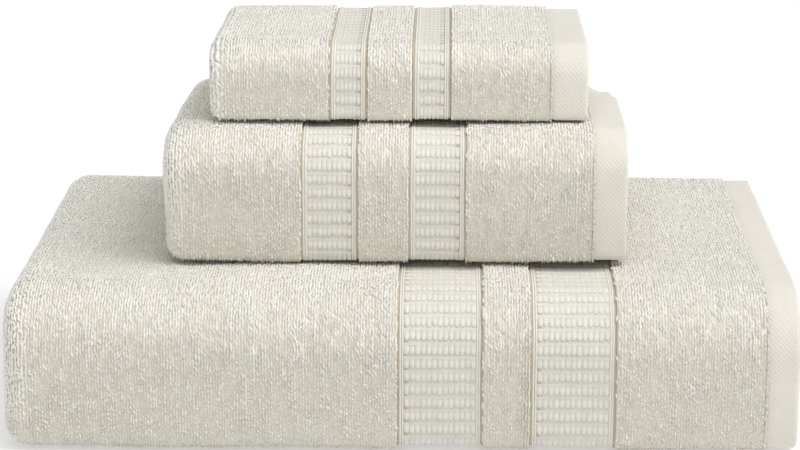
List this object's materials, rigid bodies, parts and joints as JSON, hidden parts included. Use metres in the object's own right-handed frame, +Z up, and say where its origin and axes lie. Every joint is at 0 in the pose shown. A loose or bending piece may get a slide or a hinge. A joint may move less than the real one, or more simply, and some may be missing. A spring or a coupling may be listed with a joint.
{
  "type": "bath towel set",
  "caption": "Ivory cotton bath towel, hand towel and washcloth with woven waffle bands and sewn hems, each folded in thirds and stacked; the folds open and the upper towels lift off.",
  "frame": {"origin": "bottom centre of the stack, on the surface it stands on", "axes": "+X along the folded length towards the sewn end hems, +Y from the rounded front folds to the rear, +Z up"},
  "size_m": [0.355, 0.238, 0.1728],
  "materials": {
    "terry": "ivory cotton terry, soft uncut loops on both faces",
    "waffle_band": "flat woven dobby band of small upright lozenges with corded edges",
    "hem_twill": "turned hem with a flat diagonal twill face",
    "thread": "matt cotton sewing thread"
  },
  "bodies": {
    "bath_lower": {"bath_lower_leaf": "terry", "bath_rear_side_hem": "hem_twill", "bath_inner_band_lower": "waffle_band", "bath_outer_band_lower": "waffle_band", "bath_end_hem_lower": "hem_twill", "bath_hem_thread_lower": "thread"},
    "bath_upper": {"bath_front_fold": "terry", "bath_top_leaf": "terry", "bath_rear_fold": "terry", "bath_tucked_leaf": "terry", "bath_tucked_side_hem": "hem_twill", "bath_inner_band_upper": "waffle_band", "bath_outer_band_upper": "waffle_band", "bath_end_hem_upper": "hem_twill", "bath_hem_thread_upper": "thread"},
    "hand_lower": {"hand_lower_leaf": "terry", "hand_rear_side_hem": "hem_twill", "hand_inner_band_lower": "waffle_band", "hand_outer_band_lower": "waffle_band", "hand_end_hem_lower": "hem_twill", "hand_hem_thread_lower": "thread"},
    "hand_upper": {"hand_front_fold": "terry", "hand_top_leaf": "terry", "hand_rear_fold": "terry", "hand_tucked_leaf": "terry", "hand_tucked_side_hem": "hem_twill", "hand_inner_band_upper": "waffle_band", "hand_outer_band_upper": "waffle_band", "hand_end_hem_upper": "hem_twill", "hand_hem_thread_upper": "thread"},
    "wash_lower": {"wash_lower_leaf": "terry", "wash_rear_side_hem": "hem_twill", "wash_inner_band_lower": "waffle_band", "wash_outer_band_lower": "waffle_band", "wash_end_hem_lower": "hem_twill", "wash_hem_thread_lower": "thread"},
    "wash_upper": {"wash_front_fold": "terry", "wash_top_leaf": "terry", "wash_rear_fold": "terry", "wash_tucked_leaf": "terry", "wash_tucked_side_hem": "hem_twill", "wash_inner_band_upper": "waffle_band", "wash_outer_band_upper": "waffle_band", "wash_end_hem_upper": "hem_twill", "wash_hem_thread_upper": "thread"}
  },
  "joints": [
    {"name": "bath_fold", "type": "hinge", "parent": "bath_lower", "child": "bath_upper", "pos_m": [0, -0.119, 0.0244], "axis": [1, 0, 0], "range_deg": [0, 35]},
    {"name": "hand_lift", "type": "slide", "parent": "bath_upper", "child": "hand_lower", "axis": [0, 0, 1], "range_m": [0, 0.12]},
    {"name": "hand_fold", "type": "hinge", "parent": "hand_lower", "child": "hand_upper", "pos_m": [-0.0031, -0.071, 0.0944], "axis": [1, 0, 0], "range_deg": [0, 35]},
    {"name": "wash_lift", "type": "slide", "parent": "hand_upper", "child": "wash_lower", "axis": [0, 0, 1], "range_m": [0, 0.12]},
    {"name": "wash_fold", "type": "hinge", "parent": "wash_lower", "child": "wash_upper", "pos_m": [-0.0012, -0.0525, 0.14815], "axis": [1, 0, 0], "range_deg": [0, 110]}
  ]
}
